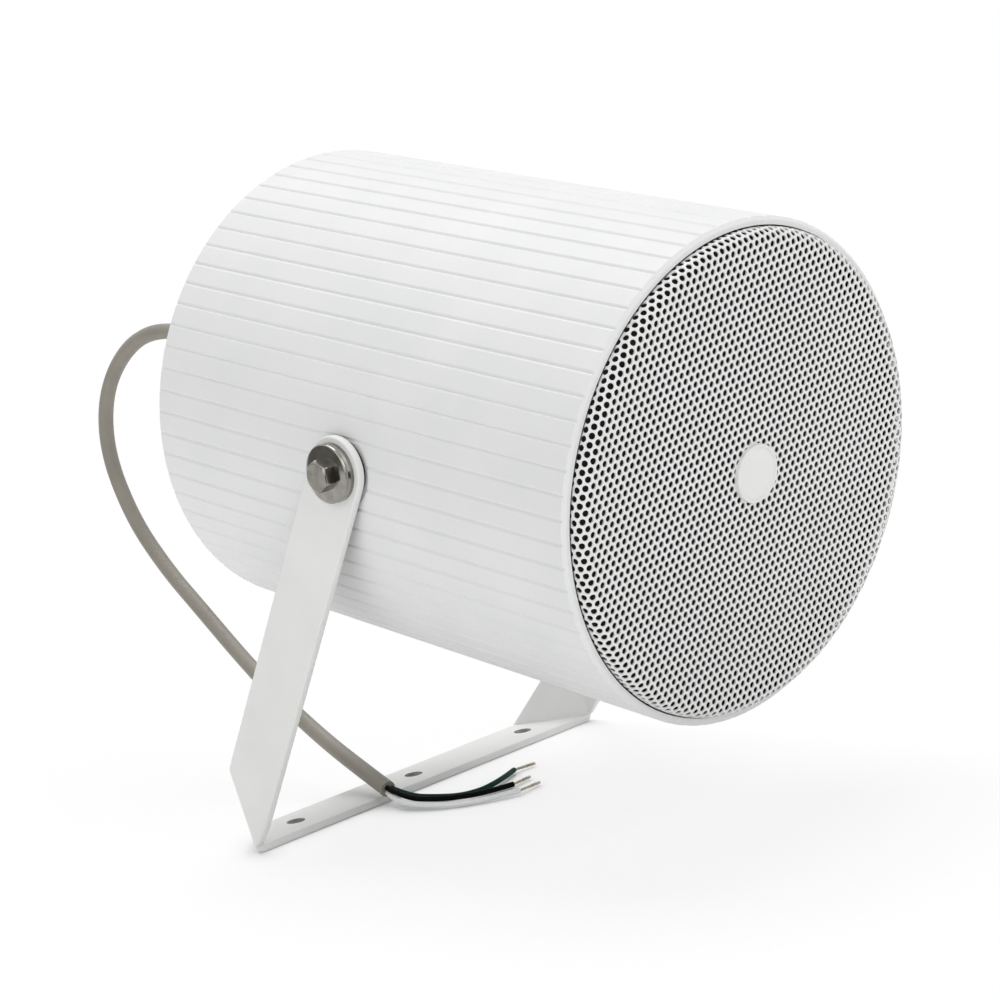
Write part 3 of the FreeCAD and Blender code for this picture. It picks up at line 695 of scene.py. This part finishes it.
def add_flat_faces(bm, corners, face):
    """The base, the arms and the facets between them, on the strip's inner or outer face."""
    depth = STRIP_THICKNESS if face == "outer" else 0.0
    outline = []
    for side in (1, -1):
        groups = corners[side]
        end = [groups["front"][0], groups["tip_low"][0], groups["root"][-1]]
        outline += [getattr(station, face) for station in end[::side]]
    centres = [Vector((x, y, STRIP_THICKNESS)) + DOWN * depth for x, y in BASE_HOLES]
    add_plate(bm, outline, centres, BASE_HOLE_RADIUS + HOLE_EDGE, DOWN)
    for side in (1, -1):
        groups = corners[side]
        out = Vector((0, side, 0))
        rim = [groups["tip_high"][-1], *groups["arm"], groups["fold"][0]]
        outline = [getattr(station, face) for station in rim]
        add_plate(bm, outline, [HUB + out * (ARM_INNER + depth)], ARM_HOLE_RADIUS + HOLE_EDGE, out)
        # On the inner face both stations in front are the one inner corner
        rim = [groups["tip_high"][0], groups["fold"][-1], groups["root"][0]]
        if face == "outer":
            rim.insert(0, groups["tip_low"][-1])
        facet = add_points(bm, [getattr(station, face) for station in rim])
        bm.faces.new(facet).smooth = False


def folded_strip():
    bm = bmesh.new()
    corners = {side: corner_stations(side) for side in (1, -1)}
    add_border(bm, corners)
    for face in ("inner", "outer"):
        add_flat_faces(bm, corners, face)
    for side, groups in corners.items():
        out = Vector((0, side, 0))
        add_bore(bm, HUB + out * ARM_INNER, ARM_HOLE_RADIUS, out)
        bends = ((groups["tip_low"], groups["root"][::-1]), (groups["tip_high"], groups["fold"][::-1]))
        for near, far in bends:
            for k in range(len(near) - 1):
                add_smooth_quad(bm, [near[k].outer, near[k + 1].outer, far[k + 1].outer, far[k].outer])
    bmesh.ops.remove_doubles(bm, verts=bm.verts, dist=ONE_VERTEX)
    face_outwards(bm)
    return to_mesh(bm, "folded_strip")


def hole_walls():
    bm = bmesh.new()
    for x, y in BASE_HOLES:
        add_bore(bm, Vector((x, y, STRIP_THICKNESS)), BASE_HOLE_RADIUS, DOWN)
    return to_mesh(bm, "hole_walls")


strip = link_mesh("folded_strip", folded_strip(), white_strip)
# The walls of the base's holes take the grey of the painted shade
walls = link_mesh("hole_walls", hole_walls(), hole_wall_painted_shade)
for piece in (strip, walls):
    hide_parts("bracket")
    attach(piece, "bracket")


# Washers under the bolt heads: slightly domed, on the CAD's seats, from points of (radius, height)

WASHER_SEAT = 93.9
WASHER_SEGMENTS = 64
WASHER_SHARP = 40
WASHER_PROFILE = [
    (3.2, 0.0), (10.4, 0.0), (10.4, 0.7), (10.25, 0.9), (9.9, 1.02), (9.0, 1.18),
    (8.0, 1.34), (7.0, 1.47), (6.0, 1.56), (5.2, 1.6), (3.2, 1.6),
]


def domed_washers():
    bm = bmesh.new()
    for side in (1, -1):
        rings = []
        for radius, height in WASHER_PROFILE:
            centre = HUB + Vector((0, side * (WASHER_SEAT + height), 0))
            rings.append(add_points(bm, ring_points(centre, radius, FORWARD, UP, WASHER_SEGMENTS)))
        for low, high in zip(rings, rings[1:] + rings[:1]):
            add_wall(bm, low, high)
    face_outwards(bm)
    return to_mesh(bm, "domed_washers")


washers = link_mesh("domed_washers", domed_washers(), dull_steel, WASHER_SHARP)
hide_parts("flat_washers")
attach(washers, "speaker")


# Pivot bolts: hexagon heads with a turned chamfer and softened corners, one corner up at rest

BOLT_SEAT = 95.5
BOLT_FLATS = 10.0
BOLT_HEAD = 4.0
BOLT_FACE = 4.6
BOLT_CORNER = 0.35
CHAMFER_SLOPE = math.tan(math.radians(30.0))
SHANK_RADIUS = 3.0
SHANK_LENGTH = 23.0
CORNER_SHARES = (-1.0, -0.5, 0.0, 0.5, 1.0)
FLAT_SHARES = (0.0, 0.25, 0.5, 0.75)


def spoke(angle):
    return Vector((math.cos(angle), 0, math.sin(angle)))


def hexagon_outline():
    """Points round a hexagon with a corner up, and whether a flat follows each of them."""
    middle = (BOLT_FLATS / 2 - BOLT_CORNER) / math.cos(math.pi / 6)
    arcs = []
    for corner in range(6):
        way = math.pi / 2 + corner * math.pi / 3
        turns = [way + math.pi / 6 * share for share in CORNER_SHARES]
        arcs.append([spoke(way) * middle + spoke(turn) * BOLT_CORNER for turn in turns])
    outline = []
    for arc, following in zip(arcs, arcs[1:] + arcs[:1]):
        outline += [(point, False) for point in arc[:-1]]
        outline += [(arc[-1].lerp(following[0], share), True) for share in FLAT_SHARES]
    return outline


def hexagon_bolts():
    bm = bmesh.new()
    outline = hexagon_outline()
    points = [point for point, _ in outline]
    spokes = [point.normalized() for point in points]
    drops = [max(0.0, point.length - BOLT_FACE) * CHAMFER_SLOPE for point in points]
    for side in (1, -1):
        out = Vector((0, side, 0))
        seat = HUB + out * BOLT_SEAT
        shank_end = seat - out * SHANK_LENGTH
        head = seat + out * BOLT_HEAD
        foot = add_points(bm, [seat + point for point in points])
        shoulder = add_points(bm, [head + point - out * drop for point, drop in zip(points, drops)])
        face = add_points(bm, [head + way * BOLT_FACE for way in spokes])
        neck = add_points(bm, [seat + way * SHANK_RADIUS for way in spokes])
        end = add_points(bm, [shank_end + way * SHANK_RADIUS for way in spokes])
        for wall, (_, flat) in zip(add_wall(bm, foot, shoulder), outline):
            wall.smooth = not flat
        smooth_all(add_wall(bm, shoulder, face))
        smooth_all(add_wall(bm, neck, end))
        for ring in (foot, face, neck, end):
            bm.faces.new(ring).smooth = False
    face_outwards(bm)
    return to_mesh(bm, "hexagon_bolts")


bolts = link_mesh("hexagon_bolts", hexagon_bolts(), bright_steel)
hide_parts("pivot_bolts")
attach(bolts, "speaker")


# Cable and its three conductors, on the CAD routes, settled on the strip and the floor

GLAND_MOUTH = -20.0
INSIDE_GLAND = 4.0
PAST_GLAND = 6.0
CABLE_DIAMETER = 6.5
CABLE_SHARP = 50
WIRE_DIAMETER = 2.1
ROUTE_STEPS = 12
ROUND_STEPS = 4


def on_axis(x):
    """A place on the speaker's axis, in metres."""
    return TO_WORLD @ (Vector((x, 0, 0)) * MM)


cable_route = [
    tuple(on_axis(GLAND_MOUTH + INSIDE_GLAND) / MM),
    tuple(on_axis(GLAND_MOUTH - PAST_GLAND) / MM),
    (-62.7, 0.0, 178.2),
    (-99.0, 0.0, 189.5),
    (-129.0, 0.0, 187.0),
    (-155.2, 0.0, 168.0),
    (-164.8, 0.0, 140.6),
    (-154.6, -0.8, 110.5),
    (-131.6, -4.5, 88.1),
    (-105.4, -8.6, 70.2),
    (-80.1, -12.5, 52.4),
    (-53.1, -16.8, 35.9),
    (-25.5, -21.1, 22.4),
    (-1.8, -24.9, 13.1),
    (17.4, -28.3, 6.6),
]
green_route = [
    (18.14, -27.1, 6.65),
    (27.1, -25.9, 3.6),
    (35.4, -21.1, 2.4),
    (42.0, -14.1, 1.1),
    (45.5, -6.0, 1.1),
    (45.8, 2.3, 1.8),
    (43.7, 10.0, 2.1),
    (39.5, 17.7, 1.65),
]
black_route = [
    (18.07, -29.26, 7.38),
    (29.5, -30.4, 4.5),
    (38.6, -26.8, 3.3),
    (45.9, -19.3, 2.3),
    (51.4, -9.1, 1.4),
    (54.9, 2.4, 1.5),
]
white_route = [
    (17.38, -28.75, 5.26),
    (25.4, -32.2, 3.6),
    (35.2, -31.7, 2.6),
    (45.4, -27.9, 1.8),
    (54.5, -21.3, 1.4),
    (61.7, -12.8, 1.7),
    (66.2, -5.0, 2.0),
]

# Each conductor's route, where its bare tip ends, and its insulation
WIRES = {
    "green": (green_route, (40.3, 28.5, 1.3), green_insulation),
    "black": (black_route, (53.3, 12.9, 1.3), black_insulation),
    "white": (white_route, (64.0, 7.6, 1.3), white_insulation),
}


def route_spline(name, points, bevel=0.0):
    """A smooth curve along a route; with a bevel, in metres, it is a round tube."""
    data = bpy.data.curves.new(name, "CURVE")
    data.dimensions = "3D"
    data.resolution_u = ROUTE_STEPS
    spline = data.splines.new("NURBS")
    spline.points.add(len(points) - 1)
    for point, place in zip(spline.points, points):
        point.co = (*[value * MM for value in place], 1.0)
    spline.order_u = 3
    spline.use_endpoint_u = True
    data.bevel_depth = bevel
    data.bevel_resolution = ROUND_STEPS
    data.use_fill_caps = True
    piece = bpy.data.objects.new(name, data)
    scene.collection.objects.link(piece)
    return piece


def curve_mesh(curve):
    """The mesh of a curve, which is then removed."""
    graph = bpy.context.evaluated_depsgraph_get()
    mesh = bpy.data.meshes.new_from_object(curve.evaluated_get(graph))
    bpy.data.objects.remove(curve)
    return mesh


def spline_points(name, points):
    line = curve_mesh(route_spline(name, points))
    return [vertex.co.copy() for vertex in line.vertices]


def path_length(path):
    return sum((b - a).length for a, b in zip(path, path[1:]))


cable_path = spline_points("cable_line", cable_route)
cable_mesh = curve_mesh(route_spline("cable_tube", cable_route, CABLE_DIAMETER / 2 * MM))
cable = link_mesh("grey_cable", cable_mesh, grey_jacket, CABLE_SHARP)
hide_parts("cable")

STRANDS = 7
STRAND_RADIUS = 0.19
STRAND_SIDES = 6
STRAND_STEPS = 28
STRAND_OFFSET = 0.36
STRAND_FLARE = 0.1
STRAND_SHORTER = 0.035
TWIST_TURNS = 2.2
TIP_INSIDE = 0.6
TIP_SHARP = 60


def stranded_tip(name, start, finish):
    """A bare end: six strands twisted about a seventh, some of them shorter and some spread wider."""
    end = Vector(finish)
    along = (end - Vector(start)).normalized()
    begin = Vector(start) - along * TIP_INSIDE
    side = along.cross(UP).normalized()
    rise = side.cross(along)
    bm = bmesh.new()
    for strand in range(STRANDS):
        flare = STRAND_FLARE * (strand % 3)
        reach = 1.0 - STRAND_SHORTER * (strand % 4)
        rings = []
        for step in range(STRAND_STEPS + 1):
            share = step / STRAND_STEPS
            spin = 2 * math.pi * (TWIST_TURNS * share + strand / (STRANDS - 1))
            offset = 0.0 if strand == STRANDS - 1 else STRAND_OFFSET + flare * share
            away = side * math.cos(spin) + rise * math.sin(spin)
            centre = begin.lerp(end, share * reach) + away * offset
            rings.append(add_points(bm, ring_points(centre, STRAND_RADIUS, side, rise, STRAND_SIDES)))
        for low, high in zip(rings, rings[1:]):
            add_wall(bm, low, high)
        bm.faces.new(rings[0][::-1])
        bm.faces.new(rings[-1])
    face_outwards(bm)
    return link_mesh(name, to_mesh(bm, name), tinned_copper, TIP_SHARP)


for colour, (route, tip_end, insulation) in WIRES.items():
    wire = route_spline(colour + "_wire", route, WIRE_DIAMETER / 2 * MM)
    wire.data.materials.append(insulation)
    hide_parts("wire_" + colour)
    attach(wire, "bracket")
    tip = stranded_tip(colour + "_tip", route[-1], tip_end)
    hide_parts("wire_tips")
    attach(tip, "bracket")
    length = path_length(spline_points(colour + "_line", route))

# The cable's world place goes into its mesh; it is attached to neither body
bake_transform(cable)


# Floor, backdrop and light, in metres

WHITE = (1, 1, 1, 1)
FLOOR_REACH = 40.0
FLOOR_COLOUR = (0.94, 0.94, 0.94, 1)
FLOOR_GLOW = 0.78
# How near the object the floor's white fades as painted shade in tight gaps, with how many samples, and over
# what range
SHADE_GAP_REACH = 0.012
SHADE_GAP_SAMPLES = 4
SHADE_GAP_ENDS = (0.5, 1.0)
WORLD_LIGHT = 0.5
SIDE_FLAG = [(-1.3, -0.5, 0.03), (-0.3, -1.3, 0.03), (-0.3, -1.3, 0.6), (-1.3, -0.5, 0.6)]
LOW_FLAG = [(0.25, -1.8, 0.005), (1.8, -1.8, 0.005), (1.8, -0.3, 0.005), (0.25, -0.3, 0.005)]


def seen_plainly(tree):
    """1 for what the camera, a reflection or a clear surface shows, and 0 for light on the object."""
    path = add_node(tree, "ShaderNodeLightPath")
    first = add_node(tree, "ShaderNodeMath", operation="MAXIMUM")
    second = add_node(tree, "ShaderNodeMath", operation="MAXIMUM")
    tree.links.new(path.outputs["Is Camera Ray"], first.inputs[0])
    tree.links.new(path.outputs["Is Glossy Ray"], first.inputs[1])
    tree.links.new(first.outputs[0], second.inputs[0])
    tree.links.new(path.outputs["Is Transmission Ray"], second.inputs[1])
    return second.outputs[0]


def mix_shaders(tree, share, first, second, output):
    mix = add_node(tree, "ShaderNodeMixShader")
    tree.links.new(share, mix.inputs[0])
    tree.links.new(first.outputs[0], mix.inputs[1])
    tree.links.new(second.outputs[0], mix.inputs[2])
    tree.links.new(mix.outputs[0], output.inputs["Surface"])


def stage_material(name, colour, glow):
    """Pale diffuse, with part of it plain white to the camera and in reflections; in tight gaps ambient
    occlusion takes that white away, as painted shade.
    """
    material = bpy.data.materials.new(name)
    material.use_nodes = True
    tree = material.node_tree
    tree.nodes.clear()
    output = add_node(tree, "ShaderNodeOutputMaterial")
    diffuse = add_node(tree, "ShaderNodeBsdfDiffuse", Color=colour)
    white = add_node(tree, "ShaderNodeEmission", Color=WHITE, Strength=1.0)
    share = add_node(tree, "ShaderNodeMath", operation="MULTIPLY")
    share.inputs[1].default_value = glow
    tree.links.new(seen_plainly(tree), share.inputs[0])
    # Ambient occlusion lowers the white glow in tight gaps and holes: painted shade
    gap_shade = add_node(tree, "ShaderNodeAmbientOcclusion", Distance=SHADE_GAP_REACH, samples=SHADE_GAP_SAMPLES)
    shaded = add_node(tree, "ShaderNodeMath", operation="MULTIPLY")
    tree.links.new(map_range(tree, gap_shade.outputs["AO"], *SHADE_GAP_ENDS), shaded.inputs[0])
    tree.links.new(share.outputs[0], shaded.inputs[1])
    mix_shaders(tree, shaded.outputs[0], diffuse, white, output)
    return material


def add_stage_sheet(name, corners, material):
    """One flat face of the stage."""
    mesh = bpy.data.meshes.new(name)
    mesh.from_pydata(corners, [], [(0, 1, 2, 3)])
    mesh.materials.append(material)
    sheet = bpy.data.objects.new(name, mesh)
    scene.collection.objects.link(sheet)
    return sheet


def add_floor():
    side = FLOOR_REACH
    corners = [(-side, -side, 0), (side, -side, 0), (side, side, 0), (-side, side, 0)]
    add_stage_sheet("floor", corners, stage_material("pale_floor", FLOOR_COLOUR, FLOOR_GLOW))


def add_flag(name, corners, material):
    """A card beside the frame, for bright metal to mirror; it casts no shadow and sheds no soft light."""
    flag = add_stage_sheet(name, corners, material)
    flag.visible_camera = False
    flag.visible_diffuse = False
    flag.visible_shadow = False


def add_world(light):
    """Even soft light, and plain white behind the object and in reflections."""
    world = bpy.data.worlds.new("studio")
    scene.world = world
    world.use_nodes = True
    tree = world.node_tree
    tree.nodes.clear()
    output = add_node(tree, "ShaderNodeOutputWorld")
    soft = add_node(tree, "ShaderNodeBackground", Color=WHITE, Strength=light)
    white = add_node(tree, "ShaderNodeBackground", Color=WHITE, Strength=1.0)
    mix_shaders(tree, seen_plainly(tree), soft, white, output)


def add_sun(name, place, power, width):
    """A sun that shines from a place towards the origin, as wide as an angle in degrees."""
    data = bpy.data.lights.new(name, "SUN")
    data.energy = power
    data.angle = math.radians(width)
    lamp = bpy.data.objects.new(name, data)
    scene.collection.objects.link(lamp)
    lamp.location = place
    lamp.rotation_euler = (-Vector(place)).to_track_quat("-Z", "Y").to_euler()


black_card = surface("black_card", (0.01, 0.01, 0.01), (0.02, 0.02, 0.02), (0.8, 0.9))
grey_card = surface("grey_card", (0.2, 0.2, 0.19), (0.24, 0.24, 0.23), (0.8, 0.9))
add_floor()
add_flag("side_flag", SIDE_FLAG, grey_card)
add_flag("low_flag", LOW_FLAG, black_card)
add_world(WORLD_LIGHT)
add_sun("top_light", (-0.3, 0.3, 1.2), 1.55, 38.0)
add_sun("side_light", (0.3, -1.2, 0.5), 0.5, 50.0)
add_sun("front_light", (1.3, 0.1, 0.8), 0.6, 36.0)
